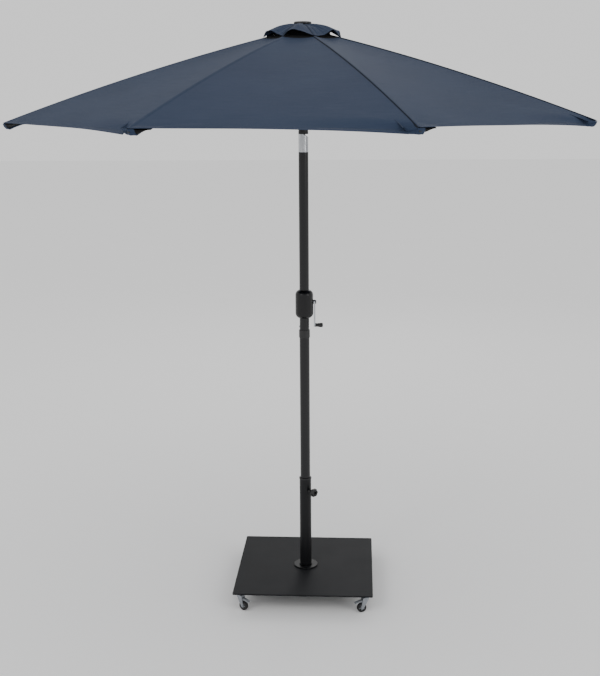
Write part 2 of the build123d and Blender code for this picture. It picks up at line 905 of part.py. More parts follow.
def polar(radius, azimuth, height):
    """A point from its distance to the mast, azimuth and height."""
    a = radians(azimuth)
    return Vector(radius * cos(a), radius * sin(a), height)


vent_along = (vent_radius - pivot_radius) / cos(radians(open_angle)) - 5
canopy_stations = [vent_along + (rib_chord - vent_along) * k / 4 for k in range(5)]
panel_angle = 360 / rib_count

with BuildPart() as canopy:
    for azimuth in rib_azimuths:
        for near, far in zip(canopy_stations, canopy_stations[1:]):
            corners = [
                on_rib(azimuth, near),
                on_rib(azimuth, far),
                on_rib(azimuth + panel_angle, far),
                on_rib(azimuth + panel_angle, near),
            ]
            facet = Face(Wire.make_polygon(corners))
            extrude(to_extrude=facet, amount=fabric_thickness, dir=(0, 0, 1))
save(canopy, "canopy")

with BuildPart() as vent_cap:
    for azimuth in rib_azimuths:
        hem = polar(cap_arch_radius, azimuth + panel_angle / 2, cap_arch_height)
        top = polar(cap_top_radius, azimuth + panel_angle / 2, cap_top_height)
        for side in (azimuth, azimuth + panel_angle):
            corner = polar(cap_corner_radius, side, cap_corner_height)
            crest = polar(cap_top_radius, side, cap_top_height)
            for points in ((crest, corner, hem), (crest, hem, top)):
                facet = Face(Wire.make_polygon(points))
                extrude(to_extrude=facet, amount=fabric_thickness, dir=(0, 0, 1))
save(vent_cap, "vent_cap")
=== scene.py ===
import json
from math import asin, atan2, cos, exp, hypot, log, pi, radians, sin, sqrt, tan

import bmesh
import bpy
from mathutils import Euler, Matrix, Vector, noise


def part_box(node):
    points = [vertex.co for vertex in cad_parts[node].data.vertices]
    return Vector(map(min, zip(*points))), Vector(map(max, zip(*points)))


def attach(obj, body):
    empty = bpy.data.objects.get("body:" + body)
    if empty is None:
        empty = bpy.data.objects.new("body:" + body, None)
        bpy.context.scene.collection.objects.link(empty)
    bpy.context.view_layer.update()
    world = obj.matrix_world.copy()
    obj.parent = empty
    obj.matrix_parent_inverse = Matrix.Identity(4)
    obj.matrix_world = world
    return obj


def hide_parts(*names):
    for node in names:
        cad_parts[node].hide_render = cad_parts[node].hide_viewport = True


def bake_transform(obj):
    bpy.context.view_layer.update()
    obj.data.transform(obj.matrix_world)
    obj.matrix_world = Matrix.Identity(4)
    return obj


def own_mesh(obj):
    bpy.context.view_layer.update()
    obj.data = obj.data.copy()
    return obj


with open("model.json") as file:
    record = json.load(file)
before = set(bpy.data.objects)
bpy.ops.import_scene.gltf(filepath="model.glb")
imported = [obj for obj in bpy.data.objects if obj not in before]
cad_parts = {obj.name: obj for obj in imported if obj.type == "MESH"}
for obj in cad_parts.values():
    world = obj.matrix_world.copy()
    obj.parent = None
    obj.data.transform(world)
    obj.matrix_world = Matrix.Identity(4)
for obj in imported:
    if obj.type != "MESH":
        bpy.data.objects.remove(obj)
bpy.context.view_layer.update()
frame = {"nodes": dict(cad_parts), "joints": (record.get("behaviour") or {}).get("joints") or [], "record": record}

bl_info = {
    "name": "Patio umbrella with base",
    "version": (1, 0, 0),
    "blender": (4, 5, 0),
    "location": "3D View > Sidebar > Umbrella",
    "description": "Sews the cloth of a patio umbrella, shapes its grips and wheels, and finishes it",
    "category": "Object",
}

joints = {joint["name"]: joint for joint in frame["joints"]}
RIBS = 8
HALF_PANEL = pi / RIBS
HUB = [Vector(joints[f"rib_{n}_hinge"]["pos_m"]) for n in range(1, RIBS + 1)]
PIVOT_RADIUS = HUB[0].xy.length
PIVOT_HEIGHT = HUB[0].z
# A rib's chord runs from its hub pivot to its tip, and its bow stands this far above the middle.
TIP_RADIUS = 1.186
TIP_HEIGHT = 2.051
RIB_BOW = 0.018
CHORD = hypot(TIP_RADIUS - PIVOT_RADIUS, PIVOT_HEIGHT - TIP_HEIGHT)
SLOPE = asin((PIVOT_HEIGHT - TIP_HEIGHT) / CHORD)
ARC_RADIUS = ((CHORD / 2) ** 2 + RIB_BOW**2) / (2 * RIB_BOW)


# ---------------------------------------------------------------- colours, settings
def linear(code):
    """Scene-linear colour from an sRGB hex code."""
    parts = [int(code[i : i + 2], 16) / 255 for i in (1, 3, 5)]
    return [p / 12.92 if p <= 0.04045 else ((p + 0.055) / 1.055) ** 2.4 for p in parts]


def colour_property(label, note, code):
    """A colour the user can change."""
    return bpy.props.FloatVectorProperty(
        name=label, description=note, subtype="COLOR", size=3, min=0, max=1, default=linear(code)
    )


def length_property(label, note, value):
    """A length the user can change, in metres."""
    return bpy.props.FloatProperty(name=label, description=note, unit="LENGTH", min=0, default=value)


class UmbrellaCloth(bpy.types.PropertyGroup):
    """Sizes and colours of everything that is sewn."""

    colour: colour_property("Cloth", "Dyed colour of the canopy cloth", "#333f55")
    shade: colour_property("Cloth shade", "Darker yarns of the weave", "#263145")
    # Binding: the near-black of the tape round the vent, also used as painted shade under the vent cap, on the
    # sheet below the cap and in the corner pocket mouths
    binding_and_shade: colour_property("Binding", "Tape round the vent", "#101114")
    thickness: length_property("Thickness", "Thickness of the coated cloth", 0.0009)
    sag: length_property("Sag", "How far a panel dips between two ribs", 0.011)
    hem: length_property("Hem", "Width of the turned hem", 0.019)
    seam: length_property("Seam", "Half the width of a felled seam", 0.007)
    hem_drop: length_property("Hem drop", "How far a hem drops to the corner pocket", 0.023)
    vent_lift: length_property("Vent lift", "Rise of the vent cap's hem between two ribs", 0.025)
    folded_share: bpy.props.FloatProperty(
        name="Folded share", description="Share of a panel's width left when folded", default=0.25
    )


class UmbrellaFrame(bpy.types.PropertyGroup):
    """Colours of the pole, the ribs and the crank."""

    enamel: colour_property("Enamel", "Baked enamel of the pole", "#111114")
    plastic: colour_property("Plastic", "Moulded parts of the crank and joints", "#131316")
    silver: colour_property("Silver", "Crank arm", "#c6c9cd")


class UmbrellaBase(bpy.types.PropertyGroup):
    """Colours of the plate, the tube and the casters."""

    powder: colour_property("Powder coat", "Coating of the base plate and tube", "#18191c")
    zinc: colour_property("Zinc", "Caster forks and bolts", "#a9adb3")
    tyre: colour_property("Tyre", "Rubber of the caster wheels", "#131315")


class UmbrellaStage(bpy.types.PropertyGroup):
    """The floor, the light and the camera."""

    floor: colour_property("Floor", "Plain pale floor", "#f7f7f7")
    sky: bpy.props.FloatProperty(name="Surround", description="Light from all round", default=1.0)
    lens: bpy.props.FloatProperty(name="Lens", description="Focal length in mm", default=55.86)


# ---------------------------------------------------------------- finishes
def add(tree, kind, settings=None, links=None):
    """Add one shader node with its settings, and feed its sockets."""
    made = tree.nodes.new("ShaderNode" + kind)
    for name, value in (settings or {}).items():
        if isinstance(name, str) and hasattr(made, name):
            setattr(made, name, value)
        else:
            made.inputs[name].default_value = value
    for name, source in (links or {}).items():
        tree.links.new(source, made.inputs[name])
    return made


def new_material(name, sockets):
    """An empty material and its shader, with the values that are the same all over."""
    material = bpy.data.materials.new(name)
    material.use_nodes = True
    shader = material.node_tree.nodes["Principled BSDF"]
    for socket, value in sockets.items():
        shader.inputs[socket].default_value = value
    return material, material.node_tree, shader


def mottled(name, light, dark, patch, rough, grain, depth, stretch=(1, 1, 1), **sockets):
    """A solid finish: patches between two colours, a range of gloss, and a fine grain.

    patch and grain are the real sizes of the two patterns in metres, depth is the grain's height.
    """
    values = {key.replace("_", " ").title().replace("Ior", "IOR"): v for key, v in sockets.items()}
    material, tree, shader = new_material(name, values)
    place = add(tree, "TexCoord").outputs["Object"]
    drawn = add(tree, "Mapping", {"Scale": stretch}, {"Vector": place}).outputs["Vector"]
    patches = add(
        tree, "TexNoise", {"Scale": 1 / patch, "Detail": 4.0, "Roughness": 0.6}, {"Vector": drawn}
    )
    blend = add(
        tree,
        "Mix",
        {"data_type": "RGBA", 6: (*dark, 1), 7: (*light, 1)},
        {"Factor": patches.outputs["Fac"]},
    )
    gloss = add(tree, "MapRange", {3: rough[0], 4: rough[1]}, {"Value": patches.outputs["Fac"]})
    fine = add(tree, "TexNoise", {"Scale": 1 / grain, "Detail": 3.0}, {"Vector": drawn})
    relief = add(tree, "Bump", {"Distance": depth, "Strength": 0.6}, {"Height": fine.outputs["Fac"]})
    tree.links.new(blend.outputs[2], shader.inputs["Base Color"])
    tree.links.new(gloss.outputs["Result"], shader.inputs["Roughness"])
    tree.links.new(relief.outputs["Normal"], shader.inputs["Normal"])
    return material


def shaded(colour, share):
    """The same colour, darker."""
    return [part * share for part in colour]


def woven_polyester(name, cloth, v_binding):
    """Solution-dyed polyester: a fine plain weave, a soft sheen, and two rows of stitches by each seam.

    The cloth map's u runs across from the seam and v up from the hem, both in metres. Above the binding height the
    cloth is painted near black: tape round the vent, and painted shade where the cloth lies in shadow.
    """
    material, tree, shader = new_material(
        name, {"Specular IOR Level": 0.08, "Sheen Weight": 0.03, "Sheen Roughness": 0.5}
    )
    where = add(tree, "UVMap", {"uv_map": "cloth"}).outputs["UV"]
    apart = add(tree, "SeparateXYZ", None, {"Vector": where})
    across, up = apart.outputs["X"], apart.outputs["Y"]
    place = add(tree, "TexCoord").outputs["Object"]
    # Threads are 0.4 mm apart; they are drawn at 2.2 mm so that the weave shows.
    thread = 2 * pi / 0.0022
    waves = []
    for axis in (across, up):
        turned = add(tree, "Math", {"operation": "MULTIPLY", 1: thread}, {0: axis})
        waves.append(add(tree, "Math", {"operation": "SINE"}, {0: turned.outputs[0]}).outputs[0])
    weave = add(tree, "Math", {"operation": "MULTIPLY"}, {0: waves[0], 1: waves[1]}).outputs[0]
    # Yarns vary in shade over a few centimetres, along and across the cloth.
    slub = add(tree, "Mapping", {"Scale": (8, 160, 1)}, {"Vector": where}).outputs["Vector"]
    yarns = add(tree, "TexNoise", {"Scale": 1.0, "Detail": 3.0}, {"Vector": slub}).outputs["Fac"]
    clouds = add(tree, "TexNoise", {"Scale": 5.0, "Detail": 2.0}, {"Vector": place}).outputs["Fac"]
    tone = add(tree, "Math", {"operation": "MULTIPLY_ADD", 1: 0.10, 2: 0.0}, {0: weave}).outputs[0]
    tone = add(tree, "Math", {"operation": "MULTIPLY_ADD", 1: 0.45}, {0: yarns, 2: tone}).outputs[0]
    tone = add(tree, "Math", {"operation": "MULTIPLY_ADD", 1: 0.55}, {0: clouds, 2: tone}).outputs[0]
    cloth_colour = add(
        tree,
        "Mix",
        {"data_type": "RGBA", 6: (*cloth.colour, 1), 7: (*cloth.shade, 1)},
        {"Factor": tone},
    ).outputs[2]
    # Stitches: 3.2 mm long with 0.8 mm between, in rows inside each edge of the seam and the hem.
    side = add(tree, "Math", {"operation": "ABSOLUTE"}, {0: across}).outputs[0]
    rows = []
    for track, length, middle in ((side, up, cloth.seam * 0.72), (up, across, cloth.hem * 0.88)):
        near = add(tree, "Math", {"operation": "COMPARE", 1: middle, 2: 0.0005}, {0: track}).outputs[0]
        step = add(tree, "Math", {"operation": "MODULO", 1: 0.004}, {0: length}).outputs[0]
        step = add(tree, "Math", {"operation": "ABSOLUTE"}, {0: step}).outputs[0]
        dash = add(tree, "Math", {"operation": "LESS_THAN", 1: 0.0032}, {0: step}).outputs[0]
        rows.append(add(tree, "Math", {"operation": "MULTIPLY"}, {0: near, 1: dash}).outputs[0])
    stitch = add(tree, "Math", {"operation": "MAXIMUM"}, {0: rows[0], 1: rows[1]}).outputs[0]
    sewn = add(
        tree,
        "Mix",
        {"data_type": "RGBA", 7: (*shaded(cloth.shade, 0.45), 1)},
        {"Factor": stitch, 6: cloth_colour},
    ).outputs[2]
    # The open edge of the felled seam leaves a line of shade on its left, painted into the cloth's colour as
    # painted shade.
    lap_middle, lap_half_width = -cloth.seam - 0.0017, 0.0016
    lap_shade = add(
        tree, "Math", {"operation": "COMPARE", 1: lap_middle, 2: lap_half_width}, {0: across}
    ).outputs[0]
    sewn = add(
        tree, "Mix", {"data_type": "RGBA", 7: (*shaded(cloth.shade, 0.3), 1)}, {"Factor": lap_shade, 6: sewn}
    ).outputs[2]
    # Above the binding height the cloth is painted near black: binding tape round the vent, and painted shade
    # under the cap and in the pocket mouths.
    taped_and_shaded = add(tree, "Math", {"operation": "GREATER_THAN", 1: v_binding}, {0: up}).outputs[0]
    finished = add(
        tree, "Mix", {"data_type": "RGBA", 7: (*cloth.binding_and_shade, 1)}, {"Factor": taped_and_shaded, 6: sewn}
    ).outputs[2]
    height = add(tree, "Math", {"operation": "MULTIPLY_ADD", 1: -2.0}, {0: stitch, 2: weave}).outputs[0]
    relief = add(tree, "Bump", {"Distance": 0.00012, "Strength": 0.5}, {"Height": height})
    gloss = add(tree, "MapRange", {3: 0.62, 4: 0.78}, {"Value": yarns}).outputs["Result"]
    tree.links.new(finished, shader.inputs["Base Color"])
    tree.links.new(gloss, shader.inputs["Roughness"])
    tree.links.new(relief.outputs["Normal"], shader.inputs["Normal"])
    return material


def braided_cord(name):
    """Braided polyester cord: two crossing sets of strands, 3 mm from one crossing to the next."""
    material, tree, shader = new_material(name, {"Roughness": 0.7, "Sheen Weight": 0.3})
    place = add(tree, "TexCoord").outputs["Object"]
    strands = []
    for lean in (1, -1):
        tilted = add(
            tree, "Mapping", {"Rotation": (lean * 0.8, lean * 0.5, 0)}, {"Vector": place}
        ).outputs["Vector"]
        # A 1.1 mm strand drawn as one band of the wave.
        strands.append(
            add(
                tree,
                "TexWave",
                {"bands_direction": "Z", "Scale": 150.0, "Distortion": 0.6},
                {"Vector": tilted},
            ).outputs["Fac"]
        )
    braid = add(tree, "Math", {"operation": "MAXIMUM"}, {0: strands[0], 1: strands[1]}).outputs[0]
    tint = add(
        tree,
        "Mix",
        {"data_type": "RGBA", 6: (*linear("#0b0b0c"), 1), 7: (*linear("#2a2b2e"), 1)},
        {"Factor": braid},
    ).outputs[2]
    relief = add(tree, "Bump", {"Distance": 0.0003, "Strength": 0.8}, {"Height": braid})
    tree.links.new(tint, shader.inputs["Base Color"])
    tree.links.new(relief.outputs["Normal"], shader.inputs["Normal"])
    return material


def make_finishes(scene):
    """Every material by the name of its slot in the record."""
    metal, base, cloth = scene.umbrella_frame, scene.umbrella_base, scene.umbrella_cloth
    made = {}
    # Textured polyester powder coat: satin, with the slight orange peel of a baked coating.
    made["plate_powder_coat"] = mottled(
        "satin_powder_coat", base.powder, shaded(base.powder, 0.8), 0.11, (0.5, 0.6), 0.0035, 0.00012,
        ior=1.5, specular_ior_level=0.14,
    )
    # The same coating on the drawn tube, a little glossier because the tube was smoother.
    made["tube_powder_coat"] = mottled(
        "tube_powder_coat", shaded(base.powder, 0.62), shaded(base.powder, 0.45), 0.06, (0.3, 0.42),
        0.003, 0.00008, ior=1.5, specular_ior_level=0.25,
    )
    # Bright zinc plate on pressed steel: grey patches a few millimetres across, dull in the folds.
    made["zinc_plate"] = mottled(
        "zinc_plated_steel", base.zinc, shaded(base.zinc, 0.6), 0.006, (0.22, 0.45), 0.0012, 0.00004,
        metallic=1.0,
    )
    made["zinc_bolts"] = mottled(
        "zinc_plated_bolts", shaded(base.zinc, 0.9), shaded(base.zinc, 0.5), 0.004, (0.3, 0.5), 0.001,
        0.00004, metallic=1.0,
    )
    # Glass-filled nylon off the mould: near black, low gloss, a fine spark-eroded texture.
    made["black_nylon"] = mottled(
        "moulded_black_nylon", shaded(metal.plastic, 0.75), shaded(metal.plastic, 0.5), 0.02,
        (0.42, 0.55), 0.0011, 0.00006, ior=1.53,
    )
    # Baked enamel on steel tube: near black, smooth, with soft upright highlights.
    made["pole_enamel"] = mottled(
        "baked_pole_enamel", metal.enamel, shaded(metal.enamel, 0.8), 0.09, (0.2, 0.3), 0.006, 0.00003,
        stretch=(1, 1, 0.25), ior=1.5, specular_ior_level=0.4,
    )
    made["rib_enamel"] = mottled(
        "baked_rib_enamel", shaded(metal.enamel, 0.8), shaded(metal.enamel, 0.6), 0.05, (0.3, 0.42),
        0.004, 0.00004, ior=1.5,
    )
    # Moulded ABS of the crank housing: satin black with a faint texture.
    made["crank_case_plastic"] = mottled(
        "moulded_abs", shaded(metal.plastic, 0.7), shaded(metal.plastic, 0.45), 0.03, (0.26, 0.36),
        0.0014, 0.00005, ior=1.54, specular_ior_level=0.3,
    )
    # Chromed brass sleeve and button: a bright mirror, with long upright bright and dark streaks painted into its
    # colour as painted reflections.
    made["chrome_plate"] = mottled(
        "chrome_painted_reflections", linear("#e4e6ea"), linear("#33363b"), 0.011, (0.08, 0.2), 0.007, 0.0004,
        stretch=(1, 1, 0.14), metallic=1.0,
    )
    # Bare aluminium crank arm, brushed lengthways.
    made["crank_aluminium"] = mottled(
        "brushed_aluminium", metal.silver, shaded(metal.silver, 0.7), 0.004, (0.28, 0.42), 0.0009,
        0.00005, stretch=(1, 1, 0.06), metallic=1.0,
    )
    # Moulded grip: dark, slightly soft to the eye.
    made["handle_plastic"] = mottled(
        "moulded_grip", metal.plastic, shaded(metal.plastic, 0.65), 0.015, (0.38, 0.5), 0.001, 0.00006,
        ior=1.5,
    )
    # Die-cast zinc button, bead-blasted then lacquered.
    made["die_cast_zinc"] = mottled(
        "blasted_die_casting", linear("#b4b7bb"), linear("#83868b"), 0.005, (0.3, 0.45), 0.0008,
        0.00006, metallic=1.0,
    )
    # Natural rubber tread: black, dusty grey where it has rolled.
    made["wheel_rubber"] = mottled(
        "rolled_rubber", base.tyre, shaded(base.tyre, 0.6), 0.012, (0.55, 0.75), 0.0012, 0.00012,
        ior=1.52,
    )
    # Grey nylon of the brake pedals and the wheel hubs: satin, with no visible grain.
    made["brake_plastic"] = mottled(
        "moulded_grey_nylon", linear("#8b8f94"), linear("#74787d"), 0.01, (0.4, 0.5), 0.001, 0.00005,
        ior=1.53,
    )
    # The canopy is painted near black along the first 0.125 m of each rib's chord, under the vent cap: binding
    # tape, and painted shade of the gaps under the cap.
    made["canopy_polyester"] = woven_polyester("woven_polyester", cloth, CHORD - 0.125)
    made["vent_polyester"] = woven_polyester("woven_polyester_vent", cloth, 1.0)
    made["braided_cord"] = braided_cord("braided_cord")
    return made


finishes = {}


def give(piece, slot_name, material_name=None):
    """Put the finish of a slot on a piece, in place of whatever it had."""
    piece.data.materials.clear()
    piece.data.materials.append(finishes[material_name or slot_name])


# ---------------------------------------------------------------- rib geometry
def azimuth(number):
    """Azimuth of a rib; numbers run on past the eighth and below the first."""
    return atan2(HUB[0].y, HUB[0].x) + (number - 1) * 2 * HALF_PANEL


def bow(along):
    """Height of the bowed rib over its chord."""
    return sqrt(ARC_RADIUS**2 - (along - CHORD / 2) ** 2) - (ARC_RADIUS - RIB_BOW)


def by_rib(number, along, height, across=0.0):
    """A point from its distance along a rib's chord, its height over the rib and across it."""
    a = azimuth(number)
    out = along * cos(SLOPE) + (bow(along) + height) * sin(SLOPE) + PIVOT_RADIUS
    rise = -along * sin(SLOPE) + (bow(along) + height) * cos(SLOPE) + PIVOT_HEIGHT
    return Vector((out * cos(a) - across * sin(a), out * sin(a) + across * cos(a), rise))


def smooth(value, low, high):
    """0 below low, 1 above high, and an even curve between."""
    share = min(max((value - low) / (high - low), 0.0), 1.0)
    return share * share * (3 - 2 * share)


def spread_over(low, high, count):
    """Evenly spaced values from low to high."""
    return [low + (high - low) * k / (count - 1) for k in range(count)]


# ---------------------------------------------------------------- sewing
FABRIC_LIFT = 0.012      # outer face of the cloth over a rib's middle line
VENT_ALONG = 0.063       # where the cloth starts, along the rib
# Marks at this height put the near-black binding colour on the cloth as painted shade.
PAINTED_SHADE_HEIGHT = 1.5              # a height on the cloth map that the binding covers


def half_panel(number, along):
    """Half the width of a panel, from a seam to the middle between two ribs."""
    return (by_rib(number + 1, along, FABRIC_LIFT) - by_rib(number, along, FABRIC_LIFT)).length / 2


def panel_point(cloth, number, side, along, off):
    """Outer face of the canopy, off metres from a rib's seam towards the rib on that side."""
    share = min(off / half_panel(number, along), 1.0)
    slack = share * (2 - share)
    reach = along / CHORD
    inset = along - 0.008 * slack * reach**8
    seam = by_rib(number, inset, FABRIC_LIFT)
    point = seam.lerp(by_rib(number + side, inset, FABRIC_LIFT), share / 2)
    dip = cloth.sag * (0.35 + 0.65 * sin(pi * min(reach, 1.0) ** 1.3)) * slack
    swell = 0.0022 * noise.noise(point * 3.2) * slack
    # Fans of shallow creases run out of each corner, where the cloth is pulled hardest.
    to_hem = CHORD - along
    from_corner = hypot(off, to_hem)
    angle = atan2(off, to_hem + 1e-6)
    crease = 0.0011 * sin(13 * angle + number) * sin(min(angle * 1.5, pi))
    crease *= smooth(from_corner, 0.01, 0.05) * exp(-from_corner / 0.16)
    # The felled seam lies open on one side, so its edge stands up there and runs flat on the other.
    step = 0.0022 if side < 0 else 0.0008
    ridge = step * (1 - smooth(off, cloth.seam, cloth.seam + 0.0015))
    ridge = max(ridge, 0.0009 * (1 - smooth(to_hem, cloth.hem, cloth.hem + 0.0015)))
    # Each hem drops towards the rib where it is sewn on to the outside of the corner pocket.
    across = share / 2 if side > 0 else 1 - share / 2
    fall = cloth.hem_drop * across**3 * (1 - smooth(to_hem, 0.0, 0.05 + 0.16 * (1 - across)))
    fall *= 1.0 if side > 0 else smooth(off, 0.006, 0.019)
    point.z += ridge + crease + swell - dip - fall
    return point


def cloth_mesh(name, rows, marks, thickness):
    """A sheet from rows of points, its cloth map, and its thickness below the outer face."""
    mesh = bpy.data.meshes.new(name)
    across = len(rows[0])
    corners = [
        (i * across + j, (i + 1) * across + j, (i + 1) * across + j + 1, i * across + j + 1)
        for i in range(len(rows) - 1)
        for j in range(across - 1)
    ]
    mesh.from_pydata([point for row in rows for point in row], [], corners)
    layer = mesh.uv_layers.new(name="cloth")
    flat_marks = [mark for row in marks for mark in row]
    for loop in mesh.loops:
        layer.data[loop.index].uv = flat_marks[loop.vertex_index]
    piece = bpy.data.objects.new(name, mesh)
    bpy.context.scene.collection.objects.link(piece)
    wall = piece.modifiers.new("thickness", "SOLIDIFY")
    wall.thickness = thickness
    wall.offset = -1
    apply_modifiers(piece)
    return piece


def only(piece):
    """Select and activate one object, and nothing else."""
    bpy.ops.object.select_all(action="DESELECT")
    piece.select_set(True)
    bpy.context.view_layer.objects.active = piece


def apply_modifiers(piece):
    """Apply every modifier of a piece in order, and shade it smooth except over sharp edges."""
    only(piece)
    for modifier in list(piece.modifiers):
        bpy.ops.object.modifier_apply(modifier=modifier.name)
    bpy.ops.object.shade_smooth_by_angle(angle=radians(38))


class UMBRELLA_OT_finishes(bpy.types.Operator):
    """Make every finish and put it on the frame's own parts"""

    bl_idname = "umbrella.finishes"
    bl_label = "Finish the metal and plastic"

    def execute(self, context):
        finishes.update(make_finishes(context.scene))
        slots = {part["node"]: part["material_slot"] for part in frame["record"]["subparts"]}
        plated = {"tilt_button": "chrome_plate"}
        for name, node in frame["nodes"].items():
            give(node, slots[name], plated.get(name))
            for face in node.data.polygons:
                face.material_index = 0
        return {"FINISHED"}


class UMBRELLA_OT_canopy(bpy.types.Operator):
    """Sew the canopy: eight rib-centred widths of cloth that meet in the middle of each panel"""

    bl_idname = "umbrella.canopy"
    bl_label = "Sew the canopy"

    def execute(self, context):
        cloth = context.scene.umbrella_cloth
        hem_lines = [CHORD, CHORD - 0.0008, CHORD - cloth.hem, CHORD - cloth.hem - 0.0015]
        stations = spread_over(VENT_ALONG, CHORD - 0.05, 50)
        stations += spread_over(CHORD - 0.043, hem_lines[-1] - 0.004, 4) + hem_lines[::-1]
        seam_lines = [0.0, cloth.seam * 0.5, cloth.seam, cloth.seam + 0.0015, cloth.seam + 0.005]
        for number in range(1, RIBS + 1):
            rows, marks = [], []
            for along in stations:
                half = half_panel(number, along)
                wide = spread_over(seam_lines[-1], half, 19)[1:]
                offs = seam_lines[1:] + wide
                row = [(-1, off) for off in reversed(offs)] + [(1, 0.0)] + [(1, off) for off in offs]
                rows.append([panel_point(cloth, number, side, along, off) for side, off in row])
                marks.append([(side * off, CHORD - along) for side, off in row])
            piece = cloth_mesh(f"canopy_panel_{number}", rows, marks, cloth.thickness)
            give(piece, "canopy_polyester")
            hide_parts("canopy")
            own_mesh(piece)
            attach(piece, f"rib_{number}")
        return {"FINISHED"}


# Where the vent cap's hem stands highest between rib n and rib n + 1, as a share of the way across.
HEM_CRESTS = {1: 0.55, 2: 0.42, 3: 0.6, 4: 0.48, 5: 0.58, 6: 0.24, 7: 0.32, 8: 0.76}
CAP_TOP = (0.018, 2.4345)
CAP_CORNER = (0.165, 2.3826)


def at_azimuth(radius, angle, height):
    """A point from its distance to the mast, its azimuth and its height."""
    return Vector((radius * cos(angle), radius * sin(angle), height))


def cap_point(cloth, number, side, down, share):
    """Outer face of the vent cap, down from its top and across from a rib's seam to mid-panel."""
    near, far = azimuth(number), azimuth(number + side)
    top = at_azimuth(CAP_TOP[0], near, CAP_TOP[1]).lerp(
        at_azimuth(CAP_TOP[0], far, CAP_TOP[1]), share / 2
    )
    edge = at_azimuth(CAP_CORNER[0], near, CAP_CORNER[1]).lerp(
        at_azimuth(CAP_CORNER[0], far, CAP_CORNER[1]), share / 2
    )
    panel = number if side > 0 else (number - 2) % RIBS + 1
    across = share / 2 if side > 0 else 1 - share / 2
    crest = HEM_CRESTS[panel]
    arch = sin(pi * across ** (log(0.5) / log(crest))) ** 1.25
    edge.z += cloth.vent_lift * arch
    edge.xy *= 1 - 0.03 * arch
    point = top.lerp(edge, down)
    angle = atan2(point.y, point.x)
    # Gathers run from under the finial towards the hem, deepest half way down.
    gather = noise.noise(Vector((9 * cos(angle), 9 * sin(angle), down * 1.5)))
    gather += 0.6 * noise.noise(Vector((23 * cos(angle), 23 * sin(angle), down * 2.5)))
    calm = smooth(share, 0.0, 0.25)
    point.z += 0.0032 * gather * sin(pi * min(down, 1.0)) * (0.35 + 0.65 * calm)
    point.z += 0.0012 * gather * smooth(down, 0.5, 1.0) * calm
    point.z += 0.009 * sin(pi * down**0.85)
    return point


class UMBRELLA_OT_vent_cap(bpy.types.Operator):
    """Sew the small cap over the vent, its hem arched between the ribs"""

    bl_idname = "umbrella.vent_cap"
    bl_label = "Sew the vent cap"

    def execute(self, context):
        cloth = context.scene.umbrella_cloth
        length = CAP_CORNER[0] - CAP_TOP[0]
        for number in range(1, RIBS + 1):
            rows, marks = [], []
            for down in spread_over(0.0, 0.9, 26) + [0.93, 0.955, 0.97, 1.0]:
                shares = spread_over(0.0, 1.0, 21)
                row = [(-1, share) for share in reversed(shares[1:])] + [(1, share) for share in shares]
                rows.append([])
                marks.append([])
                for side, share in row:
                    point = cap_point(cloth, number, side, down, share)
                    off = share * tan(HALF_PANEL) * (CAP_TOP[0] + down * length)
                    ridge = 0.0009 * (1 - smooth(off, 0.004, 0.0055))
                    ridge = max(ridge, 0.0008 * smooth(down, 0.935, 0.955))
                    point.z += ridge
                    rows[-1].append(point)
                    marks[-1].append((side * off, (1 - down) * length * 1.1))
            piece = cloth_mesh(f"vent_cap_panel_{number}", rows, marks, cloth.thickness)
            give(piece, "canopy_polyester", "vent_polyester")
            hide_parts("vent_cap")
            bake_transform(piece)
        return {"FINISHED"}


class UMBRELLA_OT_vent_shade_net(bpy.types.Operator):
    """Sew a near-black sheet between the canopy's vent and the cap, painted shade seen through the gaps under the
    cap's hem
    """

    bl_idname = "umbrella.vent_net"
    bl_label = "Sew the vent net"

    def execute(self, context):
        cloth = context.scene.umbrella_cloth
        # It stands on the canopy this far along a rib, and meets the cap this share of the way down.
        foot, head = 0.078, 0.66
        for number in range(1, RIBS + 1):
            places = [(-1, share) for share in spread_over(1.0, 0.05, 20)]
            places += [(1, share) for share in spread_over(0.0, 1.0, 21)]
            rows, marks = [], []
            for up in spread_over(1.0, 0.0, 7):
                rows.append([])
                for side, share in places:
                    low = panel_point(cloth, number, side, foot, share * half_panel(number, foot))
                    high = cap_point(cloth, number, side, head, share)
                    low.z += 0.0012
                    high.z -= 0.0022
                    rows[-1].append(low.lerp(high, up))
                # Every mark sits at the painted shade height, so the whole sheet takes the near-black binding
                # colour.
                marks.append([(side * share * 0.048, PAINTED_SHADE_HEIGHT) for side, share in places])
            piece = cloth_mesh(f"vent_shade_net_{number}", rows, marks, cloth.thickness)
            give(piece, "canopy_polyester", "vent_polyester")
            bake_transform(piece)
        return {"FINISHED"}


POCKET_LENGTH = 0.070
POCKET_SPAN = (-0.050, 0.066)


def pocket_point(number, back, across):
    """Outer face of a corner pocket: back from 0 at the hem to 1 at its mouth, and across the rib."""
    top = 0.0104 - 0.124 * abs(across) - 0.0035 * smooth(across, 0.012, 0.024)
    drop = 0.0245 * smooth(across, -0.050, -0.026)
    drop *= 1 - 0.42 * smooth(across, 0.016, 0.021)
    drop *= 1 - smooth(across, 0.021, 0.066) ** 0.8
    crumple = 0.0010 * noise.noise(Vector((back * 3, across * 90, number * 3.7)))
    height = top - (drop + crumple) * sin(pi / 2 * min(back / 0.35, 1.0)) ** 0.7
    tuck = 0.0035 * smooth(-across, 0.002, 0.014)
    along = CHORD + 0.0012 - tan(HALF_PANEL) * abs(across) - tuck - POCKET_LENGTH * back**1.6
    return by_rib(number, along, height, across)


